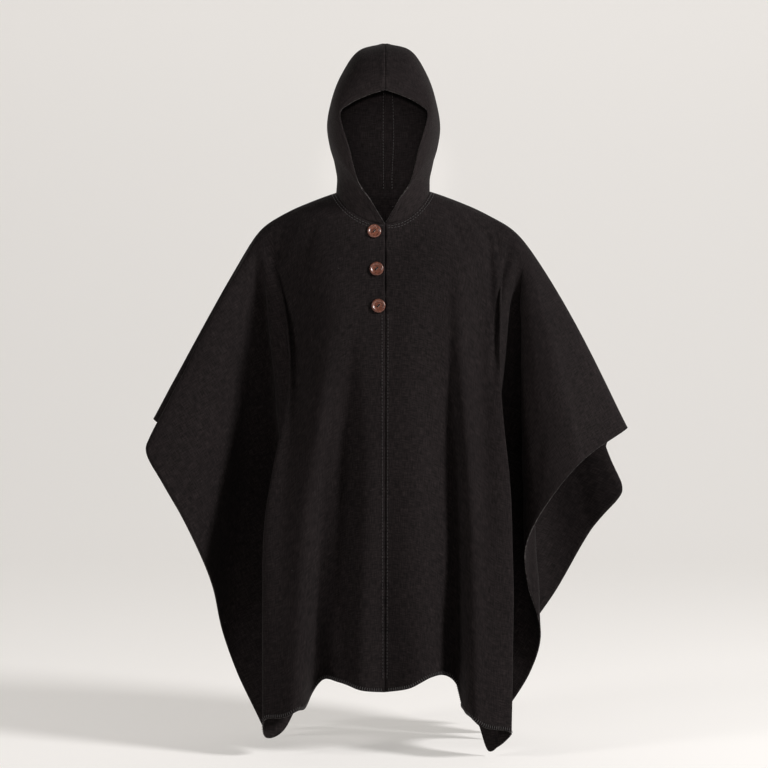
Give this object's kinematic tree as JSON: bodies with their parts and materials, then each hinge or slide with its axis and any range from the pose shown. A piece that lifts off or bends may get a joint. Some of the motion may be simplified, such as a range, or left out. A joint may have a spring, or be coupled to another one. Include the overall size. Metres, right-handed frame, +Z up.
{
  "type": "hooded poncho",
  "caption": "Hooded knee-length poncho of heavy woven cloth, hanging open-sided from the shoulders, with a buttoned slit at the throat.",
  "frame": {"origin": "between the shoulders at the base of the neck, 57 mm under the cloth's highest neck point, where the shoulders carry it", "axes": "+X to the garment's own left, +Y to its back, +Z up"},
  "size_m": [0.8922, 0.3692, 1.3086],
  "materials": {
    "cloth": "near-black heavy woven cloth with a fine slub and a soft nap",
    "button": "polished reddish-brown nutshell or wood"
  },
  "bodies": {
    "root": {"panel_right": "cloth", "panel_left": "cloth", "hood_right": "cloth", "hood_left": "cloth", "button_stand": "cloth", "button_top": "button", "button_middle": "button", "button_bottom": "button"}
  },
  "joints": []
}
